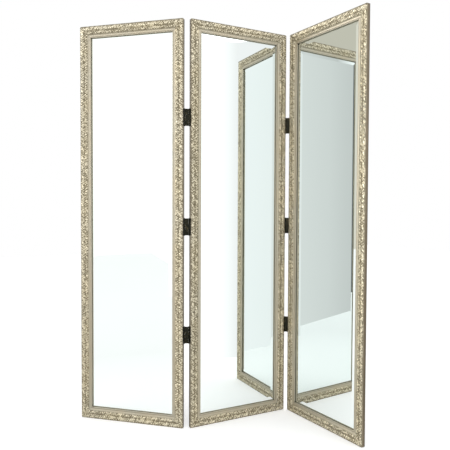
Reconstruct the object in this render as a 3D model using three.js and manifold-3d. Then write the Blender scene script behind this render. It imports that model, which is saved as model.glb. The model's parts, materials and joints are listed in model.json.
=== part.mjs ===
// A folding room divider screen: three full-length bevelled mirrors in relief-moulded frames, joined into a
// zigzag by double-action hinges. Millimetres, +Z up.
//
// The frame of the part is the middle panel's: origin on the floor under its centre, X along its
// width, mirror facing -Y. The left panel is folded back (+Y) from it, the right panel forward (-Y).
import * as THREE from "three";
import { ConvexGeometry } from "three/addons/geometries/ConvexGeometry.js";
import { mergeVertices } from "three/addons/utils/BufferGeometryUtils.js";
import Module from "manifold-3d";

// Panel
const PANEL_WIDTH = 508;
const PANEL_HEIGHT = 1829;
const PANEL_DEPTH = 20;
const GAP = 0.3; // left between pieces that touch on the real object

// Moulding section: width from the outer edge to the sight edge, and depths measured from mid-thickness,
// negative towards the mirrored side
const MOULDING_WIDTH = 53;
const MOULDING_BACK = 6;
const LIP_FRONT = -3.8;
const LIP_BACK = 1.7;
const RABBET_WIDTH = 6.5;
const CURVE_STEPS = 4;

// The moulding's front as [inward, depth] points, outer edge to sight edge; `by` is a curve's control
const MOULDING_FRONT = [
  { to: [0, -6.6] }, // outer face
  { to: [1, -7.6] }, // eased edge
  { by: [10.5, -11], to: [21, -8] }, // outer carved ridge
  { to: [22.5, -7.4] }, // groove
  { to: [24, -8] },
  { by: [30.5, -13.3], to: [38, -5.2] }, // inner carved ridge, its top at the panel's front
  { by: [42, -2.2], to: [50, -4.2] }, // cove
  { to: [MOULDING_WIDTH, LIP_FRONT] }, // lip that laps over the glass
];

// Mirror and backing board
const GLASS_THICKNESS = MOULDING_BACK - LIP_BACK - GAP;
const GLASS_EDGE_THICKNESS = 2;
const BEVEL_WIDTH = 25.4;
const BOARD_INSET = 1.6;

// Double-action hinge: two pins at mid-thickness, far enough apart for the panels to fold flat together
const HINGE_HEIGHTS = { lower: 423, centre: 909, upper: 1395 };
const HINGE_LENGTH = 76;
const SECTION = HINGE_LENGTH / 3;
const FOLDED_GAP = 0.8; // between two panels folded flat together
const PIN_SPACING = PANEL_DEPTH + FOLDED_GAP;
const PIN_TO_EDGE = 3.5;
const BARREL_RADIUS = 3;
const BORE_RADIUS = 1.5;
const PIN_RADIUS = BORE_RADIUS - GAP;
const PIN_HEAD_RADIUS = 2.4;
const PIN_HEAD_HEIGHT = 1.4;
const LEAF_THICKNESS = 1.2;
const LEAF_WIDTH = 15;
const NECK_WIDTH = 3;
const LINK_THICKNESS = 2;
const SCREW_RADIUS = 1.6;
const SCREW_OFFSET = 4.8;
const SCREW_HEIGHTS = [-31, -17, 17, 31];
const ROUND_STEPS = 12;
const SCREW_HOLE_STEPS = 8;
const DOME_STEPS = 2;

// How far each junction is folded as the screen stands, in degrees; the two pins share it equally
const LEFT_FOLD = 43.6;
const RIGHT_FOLD = 87;

const wasm = await Module();
wasm.setup();

function finish(color, roughness, metalness) {
  return new THREE.MeshStandardMaterial({ color, roughness, metalness });
}

const LEAFED_MOULDING = finish(0xb8ab88, 0.38, 0.75);
const MIRROR = finish(0xe6edea, 0.04, 1);
const PAINTED_BOARD = finish(0x2b2622, 0.8, 0);
const DARK_BRONZE = finish(0x2a241d, 0.42, 0.85);

function solid(geometry) {
  const bare = geometry.clone();
  bare.deleteAttribute("normal");
  bare.deleteAttribute("uv");
  const merged = mergeVertices(bare, 1e-4);
  return new wasm.Manifold(
    new wasm.Mesh({
      numProp: 3,
      vertProperties: new Float32Array(merged.attributes.position.array),
      triVerts: new Uint32Array(merged.index.array),
    }),
  );
}

function geometryOf(manifold) {
  const mesh = manifold.getMesh();
  const geometry = new THREE.BufferGeometry();
  geometry.setAttribute("position", new THREE.BufferAttribute(mesh.vertProperties, 3));
  geometry.setIndex(new THREE.BufferAttribute(mesh.triVerts, 1));
  geometry.computeVertexNormals();
  return geometry;
}

// The joined solids, less the cutters.
function shaped(joined, cutters) {
  const whole = joined.map(solid).reduce((sum, next) => sum.add(next));
  return geometryOf(cutters.map(solid).reduce((left, cutter) => left.subtract(cutter), whole));
}

function box(xRange, yRange, zRange) {
  const ranges = [xRange, yRange, zRange];
  const size = ranges.map(([low, high]) => high - low);
  const centre = ranges.map(([low, high]) => (low + high) / 2);
  return new THREE.BoxGeometry(...size).translate(...centre);
}

// A cylinder along Z.
function post(radius, x, [low, high]) {
  return new THREE.CylinderGeometry(radius, radius, high - low, ROUND_STEPS)
    .rotateX(Math.PI / 2)
    .translate(x, 0, (low + high) / 2);
}

// The moulding's section: X runs in from the outer edge, Y towards the back.
function mouldingSection() {
  const section = new THREE.Shape();
  section.moveTo(0, MOULDING_BACK);
  for (const { by, to } of MOULDING_FRONT) {
    if (by) section.quadraticCurveTo(...by, ...to);
    else section.lineTo(...to);
  }
  section.lineTo(MOULDING_WIDTH, LIP_BACK);
  section.lineTo(MOULDING_WIDTH - RABBET_WIDTH, LIP_BACK);
  section.lineTo(MOULDING_WIDTH - RABBET_WIDTH, MOULDING_BACK);
  return section;
}

// A length of moulding along Z, centred, with its outer edge on X = 0 and both ends mitred.
function moulding(length) {
  const geometry = new THREE.ExtrudeGeometry(mouldingSection(), {
    depth: length,
    steps: 1,
    curveSegments: CURVE_STEPS,
    bevelEnabled: false,
  }).translate(0, 0, -length / 2);
  const setback = GAP / Math.SQRT2;
  const position = geometry.attributes.position;
  for (let i = 0; i < position.count; i += 1) {
    const z = position.getZ(i);
    position.setZ(i, z - Math.sign(z) * (position.getX(i) + setback));
  }
  return geometry;
}

// The shallow housings across a stile's outer face that take the hinge leaves. `up` is -1 where the
// stile is turned end for end, or 1.
function leafHousings(up) {
  const depth = LEAF_THICKNESS + GAP;
  const reach = HINGE_LENGTH / 2 + GAP;
  return Object.values(HINGE_HEIGHTS).map((height) => {
    const middle = up * (height - PANEL_HEIGHT / 2);
    return box([-depth, depth], [-PANEL_DEPTH, PANEL_DEPTH], [middle - reach, middle + reach]);
  });
}

function stile(hinged, up) {
  const plain = moulding(PANEL_HEIGHT);
  return hinged ? shaped([plain], leafHousings(up)) : plain;
}

// The four corners of an upright rectangle centred on the panel.
function corners(width, height, depth) {
  return [-1, 1].flatMap((x) =>
    [-1, 1].map((z) => new THREE.Vector3((x * width) / 2, depth, (z * height) / 2)),
  );
}

// Plate glass with a wide bevel round its front, lying in the rabbet.
function mirrorGlass() {
  const inset = 2 * (MOULDING_WIDTH - RABBET_WIDTH + GAP);
  const width = PANEL_WIDTH - inset;
  const height = PANEL_HEIGHT - inset;
  const front = MOULDING_BACK - GLASS_THICKNESS;
  return new ConvexGeometry([
    ...corners(width, height, MOULDING_BACK),
    ...corners(width, height, MOULDING_BACK - GLASS_EDGE_THICKNESS),
    ...corners(width - 2 * BEVEL_WIDTH, height - 2 * BEVEL_WIDTH, front),
  ]);
}

function backingBoard() {
  const depth = PANEL_DEPTH / 2 - MOULDING_BACK - GAP;
  const width = PANEL_WIDTH - 2 * BOARD_INSET;
  const height = PANEL_HEIGHT - 2 * BOARD_INSET;
  return new THREE.BoxGeometry(width, depth, height).translate(0, (PANEL_DEPTH - depth) / 2, 0);
}

function mesh(name, geometry, material) {
  const made = new THREE.Mesh(geometry, material);
  made.name = name;
  return made;
}

// One framed mirror, centred on X = 0 and standing on Z = 0. `hinged` says which of its stiles take hinges.
function panel(name, hinged) {
  const group = new THREE.Group();
  const halfWidth = PANEL_WIDTH / 2;
  const halfHeight = PANEL_HEIGHT / 2;
  const members = [
    ["left_stile", stile(hinged.left, 1), -halfWidth, halfHeight, 0],
    ["right_stile", stile(hinged.right, -1), halfWidth, halfHeight, Math.PI],
    ["bottom_rail", moulding(PANEL_WIDTH), 0, 0, -Math.PI / 2],
    ["top_rail", moulding(PANEL_WIDTH), 0, PANEL_HEIGHT, Math.PI / 2],
  ];
  for (const [member, geometry, x, z, turn] of members) {
    const piece = mesh(`${name}_${member}`, geometry, LEAFED_MOULDING);
    piece.position.set(x, 0, z);
    piece.rotation.y = turn;
    group.add(piece);
  }
  const glass = mesh(`${name}_mirror`, mirrorGlass(), MIRROR);
  glass.position.z = halfHeight;
  const board = mesh(`${name}_backing_board`, backingBoard(), PAINTED_BOARD);
  board.position.z = halfHeight;
  group.add(glass, board);
  return group;
}

// The hinge is three sections high. On the left pin the link has the end knuckles and the left leaf
// the middle one; on the right pin it is the other way round.
const END_SECTIONS = [
  [-HINGE_LENGTH / 2, -SECTION / 2 - GAP / 2],
  [SECTION / 2 + GAP / 2, HINGE_LENGTH / 2],
];
const MIDDLE_SECTION = [[-SECTION / 2 + GAP / 2, SECTION / 2 - GAP / 2]];

function between(a, b) {
  return [Math.min(a, b), Math.max(a, b)];
}

function barrels(x, sections) {
  return sections.map((span) => post(BARREL_RADIUS, x, span));
}

function bore(x) {
  return post(BORE_RADIUS, x, [-HINGE_LENGTH, HINGE_LENGTH]);
}

function screwHoles(x) {
  return SCREW_HEIGHTS.map((height, i) =>
    new THREE.CylinderGeometry(SCREW_RADIUS, SCREW_RADIUS, 4 * LEAF_THICKNESS, SCREW_HOLE_STEPS)
      .rotateZ(Math.PI / 2)
      .translate(x, i % 2 ? SCREW_OFFSET : -SCREW_OFFSET, height),
  );
}

// A leaf whose pin lies on the Z axis. `side` is -1 where the panel's edge is on the pin's -X side, or 1.
function leaf(side, sections) {
  const front = side * PIN_TO_EDGE;
  const back = front + side * LEAF_THICKNESS;
  const halfLength = HINGE_LENGTH / 2;
  const plate = box(between(front, back), [-LEAF_WIDTH / 2, LEAF_WIDTH / 2], [-halfLength, halfLength]);
  const necks = sections.map((span) =>
    box(between(0, (front + back) / 2), [-NECK_WIDTH / 2, NECK_WIDTH / 2], span),
  );
  return shaped([plate, ...necks, ...barrels(0, sections)], [bore(0), ...screwHoles(front)]);
}

// The link between the pins at `left` and `right`: a web cut back to clear the leaves' knuckles, with
// the link's own knuckles along its edges.
function link(left, right) {
  const halfLength = HINGE_LENGTH / 2;
  const web = box([left, right], [-LINK_THICKNESS / 2, LINK_THICKNESS / 2], [-halfLength, halfLength]);
  const room = (x, [low, high]) => post(BARREL_RADIUS + GAP, x, [low - GAP, high + GAP]);
  const leafRoom = [
    ...MIDDLE_SECTION.map((span) => room(left, span)),
    ...END_SECTIONS.map((span) => room(right, span)),
  ];
  const ownBarrels = [...barrels(left, END_SECTIONS), ...barrels(right, MIDDLE_SECTION)];
  return shaped([shaped([web], leafRoom), ...ownBarrels], [bore(left), bore(right)]);
}

// A pin along Z with a domed head at each end.
function pin() {
  const base = HINGE_LENGTH / 2 + GAP;
  const dome = new THREE.QuadraticBezierCurve(
    new THREE.Vector2(PIN_HEAD_RADIUS, base),
    new THREE.Vector2(PIN_HEAD_RADIUS, base + PIN_HEAD_HEIGHT),
    new THREE.Vector2(0, base + PIN_HEAD_HEIGHT),
  ).getPoints(DOME_STEPS);
  const upper = [new THREE.Vector2(PIN_RADIUS, base), ...dome];
  const lower = upper.map(({ x, y }) => new THREE.Vector2(x, -y)).reverse();
  return new THREE.LatheGeometry([...lower, ...upper], ROUND_STEPS).rotateX(Math.PI / 2);
}

// One copy of a hinge piece at each hinge height.
function atHingeHeights(junction, piece, geometry, x) {
  return Object.entries(HINGE_HEIGHTS).map(([level, height]) => {
    const made = mesh(`${junction}_${level}_hinge_${piece}`, geometry, DARK_BRONZE);
    made.position.set(x, 0, height);
    return made;
  });
}

// A side panel with the hinges that carry it. `side` is -1 for the left panel and 1 for the right.
function sidePanel(junction, side, fold) {
  const halfFold = THREE.MathUtils.degToRad(fold / 2);
  const [outer, inner] = side < 0 ? ["left", "right"] : ["right", "left"];
  const sections = { left: MIDDLE_SECTION, right: END_SECTIONS };

  const links = new THREE.Group();
  const outerPin = side * PIN_SPACING;
  links.position.x = side * (PANEL_WIDTH / 2 + PIN_TO_EDGE);
  links.rotation.z = -halfFold;
  links.add(
    ...atHingeHeights(junction, "link", link(...between(0, outerPin)), 0),
    ...atHingeHeights(junction, `${inner}_pin`, pin(), 0),
    ...atHingeHeights(junction, `${outer}_pin`, pin(), outerPin),
  );

  const swinging = new THREE.Group();
  swinging.position.x = outerPin;
  swinging.rotation.z = -halfFold;
  const framed = panel(`${junction}_panel`, { left: side > 0, right: side < 0 });
  framed.position.x = side * (PIN_TO_EDGE + PANEL_WIDTH / 2);
  swinging.add(framed, ...atHingeHeights(junction, `${outer}_leaf`, leaf(side, sections[outer]), 0));
  links.add(swinging);

  const innerLeaves = atHingeHeights(
    junction,
    `${inner}_leaf`,
    leaf(-side, sections[inner]),
    links.position.x,
  );
  return [links, ...innerLeaves];
}

const screen = new THREE.Group();
screen.add(
  panel("middle_panel", { left: true, right: true }),
  ...sidePanel("left", -1, LEFT_FOLD),
  ...sidePanel("right", 1, RIGHT_FOLD),
);

export default screen;
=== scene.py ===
"""A folding room divider screen: three bevelled mirrors in relief-moulded frames, on double-action hinges.

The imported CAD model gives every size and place. This script stands a finely made piece in for each CAD node,
rides it on the node's body, and sets the materials, floor, light and camera. Units are metres.
"""
import json
import math

import bmesh
import bpy
import numpy as np
from mathutils import Matrix, Vector


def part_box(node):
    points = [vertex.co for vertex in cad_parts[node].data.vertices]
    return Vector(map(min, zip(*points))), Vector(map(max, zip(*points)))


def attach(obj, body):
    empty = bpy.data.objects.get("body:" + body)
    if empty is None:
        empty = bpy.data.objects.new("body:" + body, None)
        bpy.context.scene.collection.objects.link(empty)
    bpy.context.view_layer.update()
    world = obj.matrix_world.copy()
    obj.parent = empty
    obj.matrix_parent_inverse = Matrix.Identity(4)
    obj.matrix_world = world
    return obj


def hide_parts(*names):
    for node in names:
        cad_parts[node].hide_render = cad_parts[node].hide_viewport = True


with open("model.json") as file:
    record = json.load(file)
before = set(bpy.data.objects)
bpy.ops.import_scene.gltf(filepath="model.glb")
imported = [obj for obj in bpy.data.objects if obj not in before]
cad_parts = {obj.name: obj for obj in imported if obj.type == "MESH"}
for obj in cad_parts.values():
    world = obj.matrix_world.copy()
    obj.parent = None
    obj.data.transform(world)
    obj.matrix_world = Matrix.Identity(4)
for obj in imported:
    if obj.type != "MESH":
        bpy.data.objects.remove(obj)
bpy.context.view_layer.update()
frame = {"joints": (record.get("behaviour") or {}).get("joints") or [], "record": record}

MM = 0.001
LEVELS = ("lower", "centre", "upper")
PANELS = ("left_panel", "middle_panel", "right_panel")

# ---------------------------------------------------------------- places, from the frame

JOINTS = {joint["name"]: joint for joint in frame["joints"]}
MOUNTS = {mount["name"]: Vector(mount["pos_m"]) for mount in frame["record"]["mounts"]}


def box_of(node):
    """A CAD node's lowest and highest corners, in millimetres."""
    low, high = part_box(node)
    return low / MM, high / MM


STILE_LOW, STILE_HIGH = box_of("middle_panel_left_stile")
RAIL_HIGH = box_of("middle_panel_top_rail")[1]
BOARD_LOW, BOARD_HIGH = box_of("middle_panel_backing_board")
GLASS_LOW, GLASS_HIGH = box_of("middle_panel_mirror")
PANEL_WIDTH = -2 * STILE_LOW.x
PANEL_HEIGHT = RAIL_HIGH.z
MOULDING_WIDTH = STILE_HIGH.x - STILE_LOW.x
MOULDING_BACK = STILE_HIGH.y
CREST = STILE_LOW.y


def standing(origin, along):
    """The matrix that puts a piece's X axis along a level direction, with its origin over a point."""
    turn = Matrix.Rotation(math.atan2(along.y, along.x), 4, "Z")
    return Matrix.Translation((origin.x, origin.y, 0)) @ turn


def joint_place(name):
    return Vector(JOINTS[name]["pos_m"])


PLACES = {
    "middle_panel": standing(MOUNTS["middle_base"], Vector((1, 0, 0))),
    "left_panel": standing(MOUNTS["left_base"], joint_place("left_panel_swing") - MOUNTS["left_base"]),
    "right_panel": standing(MOUNTS["right_base"], MOUNTS["right_base"] - joint_place("right_panel_swing")),
}


def hinge_places(junction):
    """Each hinge body's matrix at a junction, with the left or right pin line as its Z axis."""
    left, right = joint_place(f"{junction}_link_swing"), joint_place(f"{junction}_panel_swing")
    bodies = ("middle_panel", "right_panel")
    if junction == "left":
        left, right = right, left
        bodies = ("left_panel", "middle_panel")
    links = f"{junction}_hinge_links"
    left_along, right_along = (PLACES[body].to_3x3() @ Vector((1, 0, 0)) for body in bodies)
    return {
        "left_leaf": (bodies[0], standing(left, left_along)),
        "right_leaf": (bodies[1], standing(right, right_along)),
        "link": (links, standing(left, right - left)),
        "left_pin": (links, standing(left, right - left)),
        "right_pin": (links, standing(right, right - left)),
    }


def hinge_height(junction, level):
    """The height of a hinge's middle, in metres."""
    low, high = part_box(f"{junction}_{level}_hinge_link")
    return (low.z + high.z) / 2


# ---------------------------------------------------------------- materials


class Nodes:
    """Shorthand for building one node tree."""

    def __init__(self, tree):
        self.tree = tree
        tree.nodes.clear()

    def add(self, kind, inputs=None, **settings):
        made = self.tree.nodes.new(kind)
        for name, value in settings.items():
            setattr(made, name, value)
        for key, value in (inputs or {}).items():
            if isinstance(value, bpy.types.NodeSocket):
                self.tree.links.new(value, made.inputs[key])
            else:
                made.inputs[key].default_value = value
        return made

    def attribute(self, name):
        return self.add("ShaderNodeAttribute", attribute_name=name).outputs["Fac"]

    def place(self):
        return self.add("ShaderNodeTexCoord").outputs["Object"]

    def stretched(self, vector, scale):
        return self.add("ShaderNodeMapping", {"Vector": vector, "Scale": scale}).outputs["Vector"]

    def noise(self, vector, scale, detail=3.0, roughness=0.55):
        made = self.add(
            "ShaderNodeTexNoise",
            {"Vector": vector, "Scale": scale, "Detail": detail, "Roughness": roughness},
        )
        return made.outputs["Fac"]

    def flecks(self, vector, scale):
        """Soft-edged patches, each of its own random level."""
        made = self.add(
            "ShaderNodeTexVoronoi",
            {"Vector": vector, "Scale": scale, "Smoothness": 0.4},
            feature="SMOOTH_F1",
        )
        return made.outputs["Color"]

    def math(self, operation, a, b=0.0, clamp=False):
        return self.add("ShaderNodeMath", {0: a, 1: b}, operation=operation, use_clamp=clamp).outputs[0]

    def between(self, value, low, high):
        """1 where the value lies between two limits, 0 elsewhere."""
        inputs = {0: value, 1: (low + high) / 2, 2: (high - low) / 2}
        return self.add("ShaderNodeMath", inputs, operation="COMPARE").outputs[0]

    def remap(self, value, low, high, to_low, to_high):
        made = self.add(
            "ShaderNodeMapRange",
            {"Value": value, "From Min": low, "From Max": high, "To Min": to_low, "To Max": to_high},
        )
        return made.outputs["Result"]

    def mix(self, factor, a, b):
        """A blend of two colours. In this node, sockets 6 and 7 are the colours and output 2 the result."""
        made = self.add("ShaderNodeMix", {0: factor, 6: a, 7: b}, data_type="RGBA")
        return made.outputs[2]

    def ramp(self, factor, stops):
        made = self.add("ShaderNodeValToRGB", {"Fac": factor})
        elements = made.color_ramp.elements
        while len(elements) < len(stops):
            elements.new(0.5)
        for element, (position, colour) in zip(elements, stops):
            element.position = position
            element.color = colour
        return made.outputs["Color"]

    def bump(self, height, strength, distance):
        made = self.add("ShaderNodeBump", {"Height": height, "Strength": strength, "Distance": distance})
        return made.outputs["Normal"]

    def finish(self, **inputs):
        shader = self.add("ShaderNodeBsdfPrincipled", inputs)
        self.add("ShaderNodeOutputMaterial", {"Surface": shader.outputs[0]})


def rgb(red, green, blue):
    return (red, green, blue, 1.0)


def new_material(name):
    material = bpy.data.materials.new(name)
    material.use_nodes = True
    return material, Nodes(material.node_tree)


def leaf_material():
    """Champagne metal leaf over carving: rubbed bright on the high points, with a dark wash in the hollows.

    The mesh says how far across the moulding a point is, how much wash lies on it, and whether it is carved.
    """
    material, n = new_material("champagne_leaf")
    where = n.place()
    zones = n.ramp(
        n.attribute("across"),
        [
            (0.00, rgb(0.44, 0.39, 0.29)),
            (0.10, rgb(0.72, 0.64, 0.46)),
            (0.34, rgb(0.76, 0.67, 0.46)),
            (0.66, rgb(0.76, 0.67, 0.47)),
            (0.76, rgb(0.60, 0.53, 0.39)),
            (1.00, rgb(0.62, 0.55, 0.42)),
        ],
    )
    clouds = n.noise(where, 7.0, 4.0)
    patchy = n.mix(n.remap(clouds, 0.38, 0.66, 0.0, 0.5), zones, rgb(0.58, 0.56, 0.47))
    fleck = n.noise(where, 420.0, 3.0, 0.7)
    flecked = n.mix(n.remap(fleck, 0.5, 0.75, 0.0, 0.3), patchy, rgb(0.84, 0.80, 0.66))
    wear = n.remap(n.flecks(where, 150.0), 0.15, 0.85, -0.55, 0.55)
    wash = n.math("ADD", n.attribute("wash"), n.math("MULTIPLY", wear, n.attribute("carved")))
    rubbed = n.mix(n.remap(wash, 0.0, 0.3, 0.85, 0.0), flecked, rgb(1.0, 0.905, 0.69))
    colour = n.mix(n.remap(wash, 0.4, 1.0, 0.0, 0.7), rubbed, rgb(0.13, 0.10, 0.052))
    roughness = n.remap(wash, 0.0, 1.0, 0.25, 0.62)
    normal = n.bump(n.noise(where, 650.0, 4.0, 0.65), 0.35, 0.25 * MM)
    n.finish(**{"Base Color": colour, "Metallic": 0.84, "Roughness": roughness, "Normal": normal})
    return material


def edge_material():
    """The moulding's plain outer side: bronze-brown paint, brushed along the length and rubbed."""
    material, n = new_material("bronze_edge_paint")
    where = n.place()
    streaks = n.noise(n.stretched(where, (420.0, 420.0, 6.0)), 1.0, 4.0)
    clouds = n.noise(where, 5.0, 3.0)
    base = n.mix(n.remap(streaks, 0.35, 0.65, 0.0, 1.0), rgb(0.115, 0.090, 0.052), rgb(0.17, 0.135, 0.085))
    colour = n.mix(n.remap(clouds, 0.4, 0.7, 0.0, 0.4), base, rgb(0.23, 0.185, 0.12))
    roughness = n.remap(streaks, 0.3, 0.7, 0.42, 0.58)
    normal = n.bump(streaks, 0.2, 0.2 * MM)
    look = {"Base Color": colour, "Metallic": 0.3, "Specular IOR Level": 0.25}
    n.finish(**look, Roughness=roughness, Normal=normal)
    return material


def mirror_material():
    """Silvered glass: a perfect mirror with the faint, slightly uneven green of plate glass."""
    material, n = new_material("silvered_glass")
    where = n.place()
    haze = n.noise(where, 3.0, 2.0)
    colour = n.mix(haze, rgb(0.855, 0.905, 0.895), rgb(0.870, 0.915, 0.905))
    n.finish(**{"Base Color": colour, "Metallic": 1.0, "Roughness": 0.0})
    return material


def glass_edge_material():
    """The ground edge of plate glass, a deeper green."""
    material, n = new_material("ground_glass_edge")
    depth = n.noise(n.place(), 260.0, 2.0)
    colour = n.mix(depth, rgb(0.08, 0.20, 0.16), rgb(0.16, 0.34, 0.28))
    n.finish(**{"Base Color": colour, "Roughness": 0.35})
    return material


def board_material():
    """Fibreboard with rolled-on dark brown paint: orange peel, faint fibres and rubbed patches."""
    material, n = new_material("painted_fibreboard")
    where = n.place()
    fibres = n.noise(n.stretched(where, (240.0, 240.0, 60.0)), 1.0, 5.0, 0.65)
    patches = n.noise(where, 4.5, 4.0)
    base = n.mix(n.remap(fibres, 0.35, 0.7, 0.0, 1.0), rgb(0.030, 0.024, 0.019), rgb(0.050, 0.041, 0.032))
    colour = n.mix(n.remap(patches, 0.45, 0.75, 0.0, 0.5), base, rgb(0.075, 0.062, 0.050))
    roughness = n.remap(patches, 0.3, 0.7, 0.52, 0.68)
    peel = n.noise(where, 320.0, 2.0)
    normal = n.bump(n.math("ADD", peel, fibres), 0.3, 0.3 * MM)
    n.finish(**{"Base Color": colour, "Roughness": roughness, "Normal": normal})
    return material


def bronze_material():
    """Blackened bronze with the brown metal showing through in small rubbed patches."""
    material, n = new_material("blackened_bronze")
    where = n.place()
    cloud = n.noise(where, 160.0, 4.0, 0.6)
    patches = n.noise(where, 45.0, 3.0, 0.6)
    rubbed = n.math("MULTIPLY", n.remap(cloud, 0.48, 0.7, 0.0, 1.0), n.remap(patches, 0.4, 0.7, 0.1, 0.9))
    colour = n.mix(rubbed, rgb(0.020, 0.021, 0.015), rgb(0.17, 0.135, 0.065))
    roughness = n.remap(cloud, 0.3, 0.7, 0.22, 0.42)
    normal = n.bump(n.noise(where, 900.0, 3.0), 0.25, 0.12 * MM)
    n.finish(**{"Base Color": colour, "Metallic": 0.9, "Roughness": roughness, "Normal": normal})
    return material


def screw_material():
    """Dulled zinc."""
    material, n = new_material("zinc_screws")
    where = n.place()
    cloud = n.noise(where, 300.0, 3.0)
    colour = n.mix(cloud, rgb(0.30, 0.28, 0.22), rgb(0.46, 0.43, 0.35))
    n.finish(**{"Base Color": colour, "Metallic": 1.0, "Roughness": n.remap(cloud, 0.3, 0.7, 0.3, 0.45)})
    return material


LEAF = leaf_material()
EDGE_PAINT = edge_material()
MIRROR = mirror_material()
GLASS_EDGE = glass_edge_material()
BOARD = board_material()
BRONZE = bronze_material()
SCREW = screw_material()

# ---------------------------------------------------------------- the moulding's relief, in millimetres

# Distances across the moulding are inward from its outer edge
PITCH = 11.0  # from one pair of leaves to the next
PAIRS_PER_ROSETTE = 3
PERIOD = (PAIRS_PER_ROSETTE + 1) * PITCH
LEAF_LEAN = 47
BAND_OUTER, BAND_INNER = 2.0, 37.6  # the carved band
BAND_MIDDLE = (BAND_INNER + BAND_OUTER) / 2
BAND_HALF = (BAND_INNER - BAND_OUTER) / 2
# The two ridges: their middle, the ornament's size, and where its rosettes start
RIDGES = ((11.6, 0.96, 0.0), (30.4, 0.76, PERIOD / 2))
GROOVE = 22.4  # between the ridges
CARVING_HEIGHT = 1.5
TILE_STEP = 0.2


def leaf(s, w, base, angle, length, width, height):
    """A pointed leaf with a sunk midrib, over lengthways places s and inward distances w."""
    u = (s - base[0]) * math.cos(angle) + (w - base[1]) * math.sin(angle)
    v = (w - base[1]) * math.cos(angle) - (s - base[0]) * math.sin(angle)
    t = np.clip(u / length, 0, 1)
    half = width * 2.6 * np.sqrt(t) * (1 - t) + 1e-6
    inside = (u > 0) & (u < length) & (np.abs(v) < half)
    body = np.sqrt(np.clip(1 - (v / half) ** 2, 0, 1)) * (0.75 + 0.25 * np.sin(math.pi * t))
    rib = 0.3 * np.exp(-((v / 0.5) ** 2))
    return np.where(inside, height * (body - rib), 0)


def bud(s, w, centre, radius, height):
    """A half-round berry, button or petal."""
    distance = np.hypot(s - centre[0], w - centre[1])
    return height * np.sqrt(np.clip(1 - (distance / radius) ** 2, 0, 1))


def rosette(s, w, centre, size):
    """A round flower: a button in a ring of petals."""
    height = bud(s, w, centre, 2.0 * size, 1.0)
    for petal in range(6):
        turn = math.radians(60 * petal)
        place = (centre[0] + 3.6 * size * math.cos(turn), centre[1] + 3.6 * size * math.sin(turn))
        height = np.maximum(height, bud(s, w, place, 2.1 * size, 0.85))
    return height


def garland(s, w, middle, size):
    """One repeat of a laurel garland on a ridge: a rosette, then alternate leaves with berries."""
    height = rosette(s, w, (0, middle), 1.1 * size)
    for pair in range(1, PAIRS_PER_ROSETTE + 1):
        stem = pair * PITCH
        for lean, ahead in ((-LEAF_LEAN, 0), (LEAF_LEAN, PITCH / 2)):
            base = (stem + ahead - 6.5 * size, middle + math.copysign(0.5, lean))
            height = np.maximum(height, leaf(s, w, base, math.radians(lean), 11.5 * size, 2.6 * size, 1.0))
        height = np.maximum(height, bud(s, w, (stem + 2.5 * size, middle), 1.5 * size, 0.8))
    return height


def softened(height):
    """The tile with its steps eased, wrapping along its length."""
    height = (np.roll(height, 1, 0) + 2 * height + np.roll(height, -1, 0)) / 4
    padded = np.pad(height, ((0, 0), (1, 1)), "edge")
    return (padded[:, :-2] + 2 * height + padded[:, 2:]) / 4


def carving_tile():
    """The height of one repeat of both ridges' garlands, from 0 to 1."""
    s, w = np.meshgrid(
        np.arange(0, PERIOD, TILE_STEP),
        np.arange(-BAND_HALF, BAND_HALF + TILE_STEP, TILE_STEP),
        indexing="ij",
    )
    height = np.zeros(s.shape)
    for middle, size, start in RIDGES:
        for shift in (-PERIOD, 0, PERIOD):
            height = np.maximum(height, garland(s - start - shift, w + BAND_MIDDLE, middle, size))
    return softened(height)


CARVING = carving_tile()


def sample_carving(s, d):
    """The carving's height at lengthways places s and inward distances d."""
    column = np.mod(s, PERIOD) / TILE_STEP
    row = np.clip((d - BAND_MIDDLE + BAND_HALF) / TILE_STEP, 0, CARVING.shape[1] - 1.001)
    i, j = np.floor(column).astype(int) % CARVING.shape[0], np.floor(row).astype(int)
    fi, fj = column - np.floor(column), row - np.floor(row)
    k = (i + 1) % CARVING.shape[0]
    low = CARVING[i, j] * (1 - fi) + CARVING[k, j] * fi
    high = CARVING[i, j + 1] * (1 - fi) + CARVING[k, j + 1] * fi
    inside = np.abs(d - BAND_MIDDLE) < BAND_HALF
    return np.where(inside, low * (1 - fj) + high * fj, 0)


# ---------------------------------------------------------------- the moulding's mesh

ROW_STEP = PERIOD / 48
CREST_BASE = CREST + CARVING_HEIGHT  # the highest ground that the carving stands on
LIP_FRONT, LIP_BACK = -3.8, 1.7
RABBET_WIDTH = 6.5
HOUSING_DEPTH = 1.5  # the shallow cut that a hinge is let into
HOUSING_REACH = 38.3
HOUSING_WALL = 0.02  # between the two rows that make each end of a housing
BARE_WASH = 0.5  # on the sides and the back


def bend(start, control, end, count):
    """Points along a quadratic curve, without its last."""
    t = np.linspace(0, 1, count, endpoint=False)[:, None]
    start, control, end = map(np.array, (start, control, end))
    return start * (1 - t) ** 2 + 2 * control * t * (1 - t) + end * t**2


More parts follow.
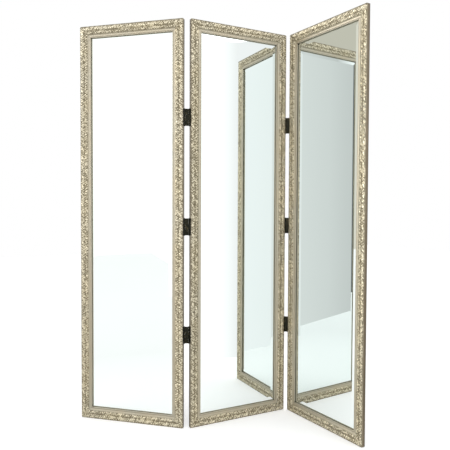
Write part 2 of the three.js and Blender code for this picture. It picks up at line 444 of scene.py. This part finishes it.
def moulding_section():
    """The section as a closed loop of (inward distance, depth) and how many of its points make the face."""
    lip = (MOULDING_WIDTH, LIP_FRONT)
    face = np.concatenate(
        [
            bend((0, -6.1), (0, -6.9), (1.0, -7.1), 3),
            bend((1.0, -7.1), (10.5, -9.3), (21, -7.0), 15),
            bend((21, -7.0), (GROOVE, -6.6), (24, -7.0), 3),
            bend((24, -7.0), (30.5, 2 * CREST_BASE + 6.5), (37.8, -5.4), 12),
            bend((37.8, -5.4), (38.6, -4.5), (39.6, -4.3), 2),
            bend((39.6, -4.3), (44, -2.6), (49.4, -3.7), 4),
            bend((49.4, -3.7), (50.4, -5.3), (52.0, -4.8), 3),
            bend((52.0, -4.8), (MOULDING_WIDTH, -4.6), lip, 2),
        ]
    )
    face[:, 1] = np.maximum(face[:, 1], CREST_BASE)
    rabbet = MOULDING_WIDTH - RABBET_WIDTH
    rest = [
        lip,
        (MOULDING_WIDTH, LIP_BACK),
        (rabbet, LIP_BACK),
        (rabbet, MOULDING_BACK),
        (0, MOULDING_BACK),
    ]
    return np.concatenate([face, np.array(rest)]), len(face)


SECTION, FACE_POINTS = moulding_section()


def hollow(d, middle, width):
    """1 along a line across the moulding, fading to 0 on both sides."""
    return np.exp(-(((d - middle) / width) ** 2))


def wash_over(carved, d):
    """How dark the wash lies, from 0 on the rubbed tops to 1 in the hollows."""
    carving = 0.92 - 1.15 * np.clip(carved, 0, 0.8)
    wash = np.where(np.abs(d - BAND_MIDDLE) < BAND_HALF, carving, 0.4)
    wash = wash + 0.3 * hollow(d, 0.6, 1.2) + 0.06 * hollow(d, GROOVE, 2.4)
    wash = wash + 0.35 * hollow(d, 38.9, 1.0) + 0.3 * hollow(d, 49.7, 0.8)
    return np.clip(wash, 0, 1)


def moulding_rows(length, housings):
    """Places along a moulding: even steps, and a pair of close ones at each end of a hinge housing."""
    rows = np.arange(-length / 2, length / 2 + ROW_STEP, ROW_STEP)
    rows = rows * (length / 2 / rows[-1])
    ends = [middle + side * HOUSING_REACH for middle in housings for side in (-1, 1)]
    walls = [middle + side * (HOUSING_REACH + HOUSING_WALL) for middle in housings for side in (-1, 1)]
    return np.unique(np.concatenate([rows, ends, walls])) if ends else rows


def moulding_grids(rows, housings):
    """Each point's inward distance, depth, place along and wash, and whether it is carved, row by row."""
    count = len(SECTION)
    d = np.tile(SECTION[:, 0], (len(rows), 1))
    y = np.tile(SECTION[:, 1], (len(rows), 1))
    z = np.tile(rows[:, None], (1, count))
    carving = sample_carving(z, d)
    on_face = np.arange(count)[None, :] < FACE_POINTS
    y = y - np.where(on_face, CARVING_HEIGHT * carving, 0)
    wash = np.where(on_face, wash_over(carving, d), BARE_WASH)
    for middle in housings:
        cut = (np.abs(z - middle) <= HOUSING_REACH + HOUSING_WALL / 2) & (d < HOUSING_DEPTH)
        d = np.where(cut, HOUSING_DEPTH, d)
    return d, y, z, wash, on_face & (np.abs(d - BAND_MIDDLE) < BAND_HALF)


def moulding_quads(row_count):
    """The faces between the rows, and which of them lie on the plain sides and back."""
    count = len(SECTION)
    i, j = np.meshgrid(np.arange(row_count - 1), np.arange(count), indexing="ij")
    k = (j + 1) % count
    quads = np.stack([i * count + j, i * count + k, (i + 1) * count + k, (i + 1) * count + j], -1)
    return quads.reshape(-1, 4), (j >= FACE_POINTS + 1).reshape(-1)


def moulding_mesh(name, length, housings=()):
    """A length of carved moulding along Z, centred, outer edge on X = 0, with mitred ends."""
    rows = moulding_rows(length, housings)
    d, y, z, wash, carved = moulding_grids(rows, housings)
    quads, plain = moulding_quads(len(rows))
    mesh = bpy.data.meshes.new(name)
    mesh.from_pydata(np.stack([d, y, z], -1).reshape(-1, 3).tolist(), [], quads.tolist())
    add_attribute(mesh, "across", d / MOULDING_WIDTH)
    add_attribute(mesh, "wash", wash)
    add_attribute(mesh, "carved", carved)
    mesh.polygons.foreach_set("material_index", plain.astype(np.int32))
    mesh.polygons.foreach_set("use_smooth", np.ones(len(plain), bool))
    cut_mitres(mesh, length)
    round_corners(mesh, length)
    mesh.materials.append(LEAF)
    mesh.materials.append(EDGE_PAINT)
    return mesh


def add_attribute(mesh, name, values):
    """Gives each point a value that the material reads."""
    layer = mesh.attributes.new(name, "FLOAT", "POINT")
    layer.data.foreach_set("value", np.ascontiguousarray(values, np.float32).reshape(-1))


MITRE_SETBACK = 0.05  # keeps neighbours from touching


def cut_mitres(mesh, length):
    """Cuts both ends at 45 degrees and closes them."""
    made = bmesh.new()
    made.from_mesh(mesh)
    for end in (-1, 1):
        bmesh.ops.bisect_plane(
            made,
            geom=made.verts[:] + made.edges[:] + made.faces[:],
            plane_co=(0, 0, end * (length / 2 - MITRE_SETBACK)),
            plane_no=(1, 0, end),
            clear_outer=True,
        )
    rims = [edge for edge in made.edges if edge.is_boundary]
    bmesh.ops.edgeloop_fill(made, edges=rims, mat_nr=1, use_smooth=False)
    bmesh.ops.recalc_face_normals(made, faces=made.faces)
    made.to_mesh(mesh)
    made.free()


CORNER_RADIUS = 6.0


def round_corners(mesh, length):
    """Eases the frame's outer corners, seen from the front, to a small radius."""
    points = np.zeros(len(mesh.vertices) * 3, np.float32)
    mesh.vertices.foreach_get("co", points)
    points = points.reshape(-1, 3)
    for end in (-1, 1):
        centre = np.array([CORNER_RADIUS, end * (length / 2 - CORNER_RADIUS)])
        offset = points[:, [0, 2]] - centre
        outside = (offset[:, 0] < 0) & (offset[:, 1] * end > 0)
        distance = np.hypot(offset[:, 0], offset[:, 1])
        reach = np.maximum(-offset[:, 0], offset[:, 1] * end)
        scale = np.where(outside, reach / np.maximum(distance, 1e-6), 1)
        points[:, [0, 2]] = centre + offset * scale[:, None]
    mesh.vertices.foreach_set("co", points.reshape(-1))


# ---------------------------------------------------------------- placing pieces


def put(name, mesh, matrix, body, nodes):
    """Stands a copy of a millimetre mesh at a place, riding on a body and standing for CAD nodes."""
    copy = mesh.copy()
    copy.transform(matrix @ Matrix.Diagonal((MM, MM, MM, 1)))
    piece = bpy.data.objects.new(name, copy)
    bpy.context.scene.collection.objects.link(piece)
    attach(piece, body)
    if nodes:
        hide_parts(*nodes)


def spin(degrees):
    """A turn about the depth axis."""
    return Matrix.Rotation(math.radians(degrees), 4, "Y")


def stile_housings(hinged, up):
    """Where the hinges let into a stile lie along it, from its middle."""
    if not hinged:
        return ()
    return tuple(up * (hinge_height("left", level) / MM - PANEL_HEIGHT / 2) for level in LEVELS)


def make_mouldings():
    """Frames each panel. The stiles that carry hinges have their housings."""
    half_width, half_height = PANEL_WIDTH / 2 * MM, PANEL_HEIGHT / 2 * MM
    rail = moulding_mesh("carved_rail", PANEL_WIDTH)
    stiles = {
        (side, hinged): moulding_mesh(f"carved_{side}_stile", PANEL_HEIGHT, stile_housings(hinged, up))
        for side, up in (("left", 1), ("right", -1))
        for hinged in (False, True)
    }
    for panel in PANELS:
        place = PLACES[panel]
        for member, mesh, shift, turn in (
            ("left_stile", stiles["left", panel != "left_panel"], (-half_width, 0, half_height), 0),
            ("right_stile", stiles["right", panel != "right_panel"], (half_width, 0, half_height), 180),
            ("bottom_rail", rail, (0, 0, 0), -90),
            ("top_rail", rail, (0, 0, 2 * half_height), 90),
        ):
            matrix = place @ Matrix.Translation(shift) @ spin(turn)
            node = f"{panel}_{member}"
            put(f"{node}_carved", mesh, matrix, panel, [node])


# ---------------------------------------------------------------- mirrors and boards

BEVEL_WIDTH = 25.4
GLASS_EDGE_THICKNESS = 2.0
ARRIS = 0.4  # the ground-off corner of the glass
BOARD_FRONT_EASING = 0.5
# The board's rounded back edge: each step's inset and distance from the back
BOARD_BACK_EASING = ((0, 0.9), (0.35, 0.25), (0.9, 0))
BOARD_SCREW_INSET = 22
BOARD_SCREW_SINK = 0.45
RAIL_SCREWS = (-150, 0, 150)
STILE_SCREWS = np.linspace(-0.98, 0.98, 8)  # as shares of half the distance between the rails' screws


def closed_mesh(name, rings, materials, ring_materials, cap_materials):
    """A closed solid from rings of four corners, front to back, with flat caps."""
    mesh = bpy.data.meshes.new(name)
    faces = [(0, 1, 2, 3)]
    slots = [cap_materials[0]]
    for level in range(len(rings) - 1):
        for i in range(4):
            k = (i + 1) % 4
            faces.append((level * 4 + i, (level + 1) * 4 + i, (level + 1) * 4 + k, level * 4 + k))
            slots.append(ring_materials[level])
    last = (len(rings) - 1) * 4
    faces.append((last + 3, last + 2, last + 1, last))
    slots.append(cap_materials[1])
    mesh.from_pydata([point for ring in rings for point in ring], [], faces)
    mesh.polygons.foreach_set("material_index", np.array(slots, np.int32))
    for material in materials:
        mesh.materials.append(material)
    made = bmesh.new()
    made.from_mesh(mesh)
    bmesh.ops.recalc_face_normals(made, faces=made.faces)
    made.to_mesh(mesh)
    made.free()
    return mesh


def ring_at(half_width, half_height, inset, depth):
    """The four corners of an upright rectangle, pulled in by an inset."""
    x, z = half_width - inset, half_height - inset
    return [(-x, depth, -z), (x, depth, -z), (x, depth, z), (-x, depth, z)]


def mirror_mesh():
    """Plate glass with a wide polished bevel and ground edges. Its front and bevel are the mirror."""
    half_width, half_height = GLASS_HIGH.x, (GLASS_HIGH.z - GLASS_LOW.z) / 2
    front, back = GLASS_LOW.y, GLASS_HIGH.y
    rings = [
        ring_at(half_width, half_height, BEVEL_WIDTH, front),
        ring_at(half_width, half_height, ARRIS, back - GLASS_EDGE_THICKNESS),
        ring_at(half_width, half_height, 0, back - GLASS_EDGE_THICKNESS + ARRIS),
        ring_at(half_width, half_height, 0, back),
    ]
    return closed_mesh("bevelled_mirror", rings, [MIRROR, GLASS_EDGE, BOARD], [0, 1, 1], [0, 2])


def board_mesh():
    """The backing board, with its edges eased."""
    half_width, half_height = BOARD_HIGH.x, (BOARD_HIGH.z - BOARD_LOW.z) / 2
    front, back = BOARD_LOW.y, BOARD_HIGH.y
    rings = [
        ring_at(half_width, half_height, BOARD_FRONT_EASING, front),
        ring_at(half_width, half_height, 0, front + BOARD_FRONT_EASING),
    ]
    rings += [ring_at(half_width, half_height, inset, back - rise) for inset, rise in BOARD_BACK_EASING]
    return closed_mesh("backing_board", rings, [BOARD], [0, 0, 0, 0], [0, 0])


# ---------------------------------------------------------------- turned and joined hinge parts

SEGMENTS = 28
CUTTER_TURN = 4.3  # degrees, so that a cutter's facets don't line up with a knuckle's


def lathe(profile, turn=0.0):
    """A solid turned about Z from (radius, height) points, rising. Points on the axis become poles."""
    made = bmesh.new()
    rings = []
    for radius, height in profile:
        if radius < 1e-6:
            rings.append([made.verts.new((0, 0, height))])
            continue
        angles = [math.radians(turn) + 2 * math.pi * i / SEGMENTS for i in range(SEGMENTS)]
        rings.append([made.verts.new((radius * math.cos(a), radius * math.sin(a), height)) for a in angles])
    for low, high in zip(rings[:-1], rings[1:]):
        for i in range(SEGMENTS):
            k = (i + 1) % SEGMENTS
            corners = [low[i % len(low)], low[k % len(low)], high[k % len(high)], high[i % len(high)]]
            made.faces.new(list(dict.fromkeys(corners)))
    bmesh.ops.recalc_face_normals(made, faces=made.faces)
    return made


def barrel(radius, low, high, chamfer):
    """A solid cylinder about Z with eased ends."""
    profile = [
        (0, low),
        (radius - chamfer, low),
        (radius, low + chamfer),
        (radius, high - chamfer),
        (radius - chamfer, high),
        (0, high),
    ]
    return lathe(profile)


def block(low, high, chamfer):
    """A box between two corners with eased edges."""
    made = bmesh.new()
    bmesh.ops.create_cube(made, size=1)
    size = [b - a for a, b in zip(low, high)]
    centre = [(a + b) / 2 for a, b in zip(low, high)]
    bmesh.ops.scale(made, vec=size, verts=made.verts)
    bmesh.ops.translate(made, vec=centre, verts=made.verts)
    if chamfer:
        bmesh.ops.bevel(made, geom=made.edges[:], offset=chamfer, segments=2, profile=0.5, affect="EDGES")
    return made


def shifted(made, x=0.0, y=0.0, z=0.0):
    bmesh.ops.translate(made, vec=(x, y, z), verts=made.verts)
    return made


def object_of(made, name):
    mesh = bpy.data.meshes.new(name)
    made.to_mesh(mesh)
    made.free()
    holder = bpy.data.objects.new(name, mesh)
    bpy.context.scene.collection.objects.link(holder)
    return holder


def carved_union(name, solids, cutters=()):
    """One mesh from solids joined together, less the cutters."""
    base = object_of(solids[0], name)
    tools = [(object_of(made, "join"), "UNION") for made in solids[1:]]
    tools += [(object_of(made, "cut"), "DIFFERENCE") for made in cutters]
    for tool, operation in tools:
        modifier = base.modifiers.new(operation, "BOOLEAN")
        modifier.operation = operation
        modifier.solver = "EXACT"
        modifier.object = tool
    bpy.context.view_layer.update()
    mesh = bpy.data.meshes.new_from_object(base.evaluated_get(bpy.context.evaluated_depsgraph_get()))
    for holder in [base, *(tool for tool, _ in tools)]:
        bpy.data.objects.remove(holder)
    close_slits(mesh)
    return finished(mesh, name)


def close_slits(mesh, reach=0.002):
    """Welds the hairline slits that a boolean can leave."""
    made = bmesh.new()
    made.from_mesh(mesh)
    bmesh.ops.remove_doubles(made, verts=made.verts, dist=reach)
    bmesh.ops.dissolve_degenerate(made, edges=made.edges, dist=reach)
    made.to_mesh(mesh)
    made.free()


def finished(mesh, name):
    """Names a hinge mesh, gives it the bronze and shades it smooth between its edges."""
    mesh.name = name
    mesh.materials.clear()
    mesh.materials.append(BRONZE)
    mesh.shade_smooth()
    mesh.set_sharp_from_angle(angle=math.radians(32))
    return mesh


HINGE_HALF = 38.0
SECTION_HALF = HINGE_HALF / 3
SECTION_GAP = 0.15
PIN_SPACING = (joint_place("left_link_swing") - joint_place("left_panel_swing")).xy.length / MM
PIN_TO_EDGE = 3.5
BARREL_RADIUS = 3.0
BORE_RADIUS = 1.5
KNUCKLE_CHAMFER = 0.35
NECK_HALF = 1.4
PIN_RADIUS = 1.2
LEAF_THICKNESS = 1.2
LEAF_HALF_WIDTH = 7.5
LINK_HALF = 1.0
LINK_CLEARANCE = 0.3  # round the leaves' knuckles
EASING = 0.3  # on the edges of leaves and links
SCREW_HEIGHTS = (-31, -17, 17, 31)
SCREW_OFFSET = 4.8
ENDS = ((-HINGE_HALF, -SECTION_HALF - SECTION_GAP), (SECTION_HALF + SECTION_GAP, HINGE_HALF))
MIDDLE = ((-SECTION_HALF + SECTION_GAP, SECTION_HALF - SECTION_GAP),)


def knuckles(x, sections):
    """The knuckles of one pin line, still without their bore."""
    return [shifted(barrel(BARREL_RADIUS, low, high, KNUCKLE_CHAMFER), x) for low, high in sections]


def cutter(x, radius, low, high):
    """A plain cylinder to cut away round an upright line."""
    return shifted(lathe([(0, low), (radius, low), (radius, high), (0, high)], CUTTER_TURN), x)


def bore(x):
    return cutter(x, BORE_RADIUS, -HINGE_HALF - 1, HINGE_HALF + 1)


def leaf_mesh(name, side, sections):
    """A leaf beside its pin line. `side` is -1 where the panel is on the pin's -X side, or 1."""
    front, back = side * PIN_TO_EDGE, side * (PIN_TO_EDGE + LEAF_THICKNESS)
    low_x, high_x = min(front, back), max(front, back)
    plate = block((low_x, -LEAF_HALF_WIDTH, -HINGE_HALF), (high_x, LEAF_HALF_WIDTH, HINGE_HALF), EASING)
    middle = (front + back) / 2
    necks = [
        block((min(0, middle), -NECK_HALF, low + 0.2), (max(0, middle), NECK_HALF, high - 0.2), 0)
        for low, high in sections
    ]
    return carved_union(name, [plate, *necks, *knuckles(0, sections)], [bore(0)])


def link_mesh():
    """The link, its left pin line on Z: a web cut back round the leaves' knuckles, and its own knuckles."""
    web_half, past_pin = HINGE_HALF - 0.2, 0.5
    web = block((-past_pin, -LINK_HALF, -web_half), (PIN_SPACING + past_pin, LINK_HALF, web_half), EASING)
    room = [
        cutter(x, BARREL_RADIUS + LINK_CLEARANCE, low - LINK_CLEARANCE, high + LINK_CLEARANCE)
        for x, sections in ((0, MIDDLE), (PIN_SPACING, ENDS))
        for low, high in sections
    ]
    trimmed = carved_union("web", [web], room)
    made = bmesh.new()
    made.from_mesh(trimmed)
    own = [*knuckles(0, ENDS), *knuckles(PIN_SPACING, MIDDLE)]
    return carved_union("hinge_link", [made, *own], [bore(0), bore(PIN_SPACING)])


def pin_mesh():
    """A pin with a domed head at each end."""
    base, radius, height = HINGE_HALF + 0.3, 2.4, 1.4
    angles = np.linspace(0, math.pi / 2, 6)
    dome = [(radius * math.cos(a), base + 0.2 + (height - 0.2) * math.sin(a)) for a in angles[:-1]]
    upper = [(PIN_RADIUS, base), (radius - 0.2, base), *dome, (0, base + height)]
    lower = [(r, -z) for r, z in reversed(upper)]
    mesh = bpy.data.meshes.new("hinge_pin")
    made = lathe([*lower, *upper])
    made.to_mesh(mesh)
    made.free()
    return finished(mesh, "hinge_pin")


def screw_head_mesh(name, radius, depth):
    """A countersunk screw head along Z, domed a little above z = 0, with a cross recess."""
    angles = np.linspace(math.pi / 2, 0, 4)
    dome = [(radius * math.sin(a), 0.28 * radius * math.cos(a)) for a in angles]
    head = lathe([(0, -depth), (radius * 0.45, -depth), (radius, -0.25 * radius), *dome])
    arm, width, bottom = radius * 0.62, radius * 0.14, -0.18 * radius
    slots = [
        block((-arm, -width, bottom), (arm, width, radius), 0),
        block((-width, -arm, bottom), (width, arm, radius), 0),
    ]
    mesh = carved_union(name, [head], slots)
    mesh.materials.clear()
    mesh.materials.append(SCREW)
    return mesh


def driven(degrees):
    """How far round a screw has ended up."""
    return Matrix.Rotation(math.radians(degrees), 4, "Z")


def joined_copies(name, mesh, matrices):
    """One mesh from a copy of a mesh at each matrix."""
    made = bmesh.new()
    for matrix in matrices:
        copy = mesh.copy()
        copy.transform(matrix)
        made.from_mesh(copy)
        bpy.data.meshes.remove(copy)
    whole = bpy.data.meshes.new(name)
    made.to_mesh(whole)
    made.free()
    for material in mesh.materials:
        whole.materials.append(material)
    return whole


def leaf_screws(head, side):
    """The four screws of a leaf, their heads flush with the face that looks at the pin."""
    facing = Matrix.Rotation(math.radians(-90 * side), 4, "Y")
    offsets = (-SCREW_OFFSET, SCREW_OFFSET) * 2
    places = [
        Matrix.Translation((side * PIN_TO_EDGE, offset, height)) @ facing @ driven(23 + 31 * i)
        for i, (offset, height) in enumerate(zip(offsets, SCREW_HEIGHTS))
    ]
    return joined_copies("leaf_screws", head, places)


def make_hinges():
    """Makes each hinge part once and stands a copy at every hinge."""
    sections = {"left": MIDDLE, "right": ENDS}
    sides = {"left": -1, "right": 1}
    meshes = {f"{side}_leaf": leaf_mesh(f"hinge_{side}_leaf", sides[side], sections[side]) for side in sides}
    pin = pin_mesh()
    meshes.update(link=link_mesh(), left_pin=pin, right_pin=pin)
    head = screw_head_mesh("leaf_screw", 2.1, 1.0)
    screws = {side: leaf_screws(head, sides[side]) for side in sides}
    for junction in ("left", "right"):
        for part, (body, matrix) in hinge_places(junction).items():
            for level in LEVELS:
                place = Matrix.Translation((0, 0, hinge_height(junction, level))) @ matrix
                node = f"{junction}_{level}_hinge_{part}"
                put(f"{node}_fine", meshes[part], place, body, [node])
                if part.endswith("leaf"):
                    put(f"{node}_screws", screws[part.split("_")[0]], place, body, [])


def board_screw_places():
    """Screws through the board into the moulding, all round the back."""
    half_width, half_height = PANEL_WIDTH / 2 - BOARD_SCREW_INSET, PANEL_HEIGHT / 2 - BOARD_SCREW_INSET
    back = Matrix.Rotation(math.radians(-90), 4, "X")
    spots = [(x, z * half_height) for x in RAIL_SCREWS for z in (-1, 1)]
    spots += [(x * half_width, z * half_height) for x in (-1, 1) for z in STILE_SCREWS]
    return [
        Matrix.Translation((x, BOARD_HIGH.y - BOARD_SCREW_SINK, z)) @ back @ driven(37 * i)
        for i, (x, z) in enumerate(spots)
    ]


def make_glazing():
    """Stands a mirror, a board and its screws in each panel."""
    glass, board = mirror_mesh(), board_mesh()
    screws = joined_copies("board_screws", screw_head_mesh("board_screw", 3.2, 1.4), board_screw_places())
    lift = Matrix.Translation((0, 0, PANEL_HEIGHT / 2 * MM))
    for panel in PANELS:
        place = PLACES[panel] @ lift
        put(f"{panel}_mirror_bevelled", glass, place, panel, [f"{panel}_mirror"])
        put(f"{panel}_board_painted", board, place, panel, [f"{panel}_backing_board"])
        put(f"{panel}_board_screws", screws, place, panel, [])


# ---------------------------------------------------------------- floor, light and camera

FLOOR_REACH = 9.0
FLOOR_FRONT, FLOOR_SKEW = -1.075, 0.285  # where the sheet's front edge crosses X = 0, and its slope


def floor_material():
    """Even white paper, with painted light and shade: it glows a little near the screen, so that no contact
    shadow shows there, and shows a darker grey to rough reflections.
    """
    material, n = new_material("pale_floor")
    where = n.place()
    cloud = n.noise(where, 0.6, 2.0)
    white = n.mix(cloud, rgb(0.865, 0.865, 0.86), rgb(0.88, 0.88, 0.875))
    path = n.add("ShaderNodeLightPath").outputs
    # Painted shade: to glossy rays that are not mirror rays, such as the leaf's rough reflections, the floor
    # shows a darker grey than it is.
    gloss_painted_shade_mask = n.math("SUBTRACT", path["Is Glossy Ray"], path["Is Singular Ray"], clamp=True)
    colour = n.mix(gloss_painted_shade_mask, white, rgb(0.36, 0.36, 0.345))
    # Painted light: the floor glows most near the screen and less further out, which fills in the contact
    # shadow round the screen's foot.
    away = n.add("ShaderNodeVectorMath", {0: where}, operation="LENGTH").outputs["Value"]
    lift = n.remap(away, 0.4, 1.6, 0.36, 0.08)
    look = {"Base Color": colour, "Emission Color": white, "Emission Strength": lift}
    n.finish(**look, **{"Specular IOR Level": 0.0, "Roughness": 0.9})
    return material


def make_floor():
    """A white sheet under the screen. Its front edge, out of the picture, shows in the mirrors."""
    front = [(x, FLOOR_FRONT + FLOOR_SKEW * x, 0) for x in (FLOOR_REACH, -FLOOR_REACH)]
    corners = [*front, (-FLOOR_REACH, FLOOR_REACH, 0), (FLOOR_REACH, FLOOR_REACH, 0)]
    mesh = bpy.data.meshes.new("floor")
    mesh.from_pydata(corners, [], [(0, 1, 2, 3)])
    mesh.materials.append(floor_material())
    floor = bpy.data.objects.new("floor", mesh)
    bpy.context.scene.collection.objects.link(floor)


# How bright and how warm the studio looks from the mirrors, by compass heading in degrees clockwise from +Y
STUDIO = [
    (0, 1.25, 0.0),
    (140, 0.95, 0.0),
    (150.5, 1.0, 0.0),
    (152.5, 1.25, 0.0),
    (190, 1.15, 0.0),
    (205, 1.10, 0.0),
    (214, 0.98, 0.1),
    (222, 0.87, 0.1),
    (225, 0.81, 0.1),
    (227.5, 0.70, 0.1),
    (228.3, 0.70, 0.1),
    (229.4, 1.25, 0.0),
    (285, 1.25, 0.2),
    (304, 0.78, 0.9),
    (312, 0.61, 1.0),
    (330, 0.60, 1.0),
    (350, 1.25, 0.0),
]
WARMTH = (0.99, 0.95, 0.80)

# A dark doorway in the studio: the headings of its sides, and how bright it looks
DOORWAY = (236.0, 239.6)
DOORWAY_LEVEL = 0.15

# Soft lights in the studio: compass heading, height and half-width in degrees, and strength
SOFTBOXES = [(107, 12, 20, 1.9), (180, 10, 13, 1.5), (255, 12, 15, 1.2), (301, 8, 14, 4.2), (5, 14, 16, 2.3)]


def softbox(n, direction, heading, height, width, strength):
    """The glow of a round soft light in the given direction."""
    level = math.cos(math.radians(height))
    aim = Vector((0, 0, math.sin(math.radians(height))))
    aim.xy = level * math.sin(math.radians(heading)), level * math.cos(math.radians(heading))
    near = n.add("ShaderNodeVectorMath", {0: direction, 1: aim}, operation="DOT_PRODUCT").outputs["Value"]
    edge, core = math.cos(math.radians(width)), math.cos(math.radians(0.6 * width))
    return n.remap(near, edge, core, 0.0, strength)


def make_world():
    """A bright studio with dim corners for the mirrors to show, soft lights for the leaf, and even light."""
    world = bpy.data.worlds.new("studio")
    world.use_nodes = True
    bpy.context.scene.world = world
    n = Nodes(world.node_tree)
    direction = n.add("ShaderNodeTexCoord").outputs["Generated"]
    split = n.add("ShaderNodeSeparateXYZ", {0: direction}).outputs
    turns = n.math("DIVIDE", n.math("ARCTAN2", split["X"], split["Y"]), 2 * math.pi)
    heading = n.math("FRACT", n.math("ADD", turns, 1.0))
    stops = []
    for degrees, level, warm in STUDIO:
        tone = [level * (1 + warm * (channel - 1)) for channel in WARMTH]
        stops.append((degrees / 360, rgb(*tone)))
    doorway = n.between(heading, DOORWAY[0] / 360, DOORWAY[1] / 360)
    studio = n.mix(doorway, n.ramp(heading, stops), rgb(DOORWAY_LEVEL, DOORWAY_LEVEL, DOORWAY_LEVEL))
    below = n.remap(split["Z"], -0.4, 0.0, 0.52, 1.02)
    above = n.remap(split["Z"], 0.0, 0.6, 1.02, 0.58)
    glow = n.math("MINIMUM", below, above)
    for facing, height, width, strength in SOFTBOXES:
        glow = n.math("ADD", glow, softbox(n, direction, facing, height, width, strength))
    soft = n.add("ShaderNodeCombineColor", {0: glow, 1: glow, 2: glow}).outputs[0]
    path = n.add("ShaderNodeLightPath").outputs
    lit = n.mix(path["Is Diffuse Ray"], soft, rgb(1.14, 1.14, 1.14))
    mirrored = n.mix(path["Is Singular Ray"], lit, studio)
    seen = n.mix(path["Is Camera Ray"], mirrored, rgb(1, 1, 1))
    background = n.add("ShaderNodeBackground", {"Color": seen})
    n.add("ShaderNodeOutputWorld", {"Surface": background.outputs[0]})


def area_light(name, place, aim, size, power):
    """A square soft light at a place, facing its aim."""
    data = bpy.data.lights.new(name, "AREA")
    data.shape = "SQUARE"
    data.size = size
    data.energy = power
    light = bpy.data.objects.new(name, data)
    light.location = place
    light.rotation_euler = (Vector(aim) - Vector(place)).to_track_quat("-Z", "Y").to_euler()
    bpy.context.scene.collection.objects.link(light)


def make_lights():
    area_light("key", (1.7, -3.0, 3.9), (0, 0, 0.9), 1.1, 8)
    area_light("fill", (-3.0, -1.6, 4.2), (0.1, 0, 0.9), 1.2, 6)


CAMERA_PLACE = (-1.28825, -2.24687, 0.9993)
CAMERA_HEADING = 28.352
CAMERA_PITCH = 1.886
CAMERA_ROLL = 0.234
CAMERA_LENS = 44.24


def make_camera():
    data = bpy.data.cameras.new("camera")
    data.lens = CAMERA_LENS
    data.sensor_width = 36.0
    camera = bpy.data.objects.new("camera", data)
    camera.matrix_world = (
        Matrix.Translation(CAMERA_PLACE)
        @ Matrix.Rotation(math.radians(-CAMERA_HEADING), 4, "Z")
        @ Matrix.Rotation(math.radians(90 - CAMERA_PITCH), 4, "X")
        @ Matrix.Rotation(math.radians(CAMERA_ROLL), 4, "Z")
    )
    bpy.context.scene.collection.objects.link(camera)
    bpy.context.scene.camera = camera
    bpy.context.scene.view_settings.view_transform = "Standard"


make_camera()
make_mouldings()
make_glazing()
make_hinges()
make_floor()
make_world()
make_lights()
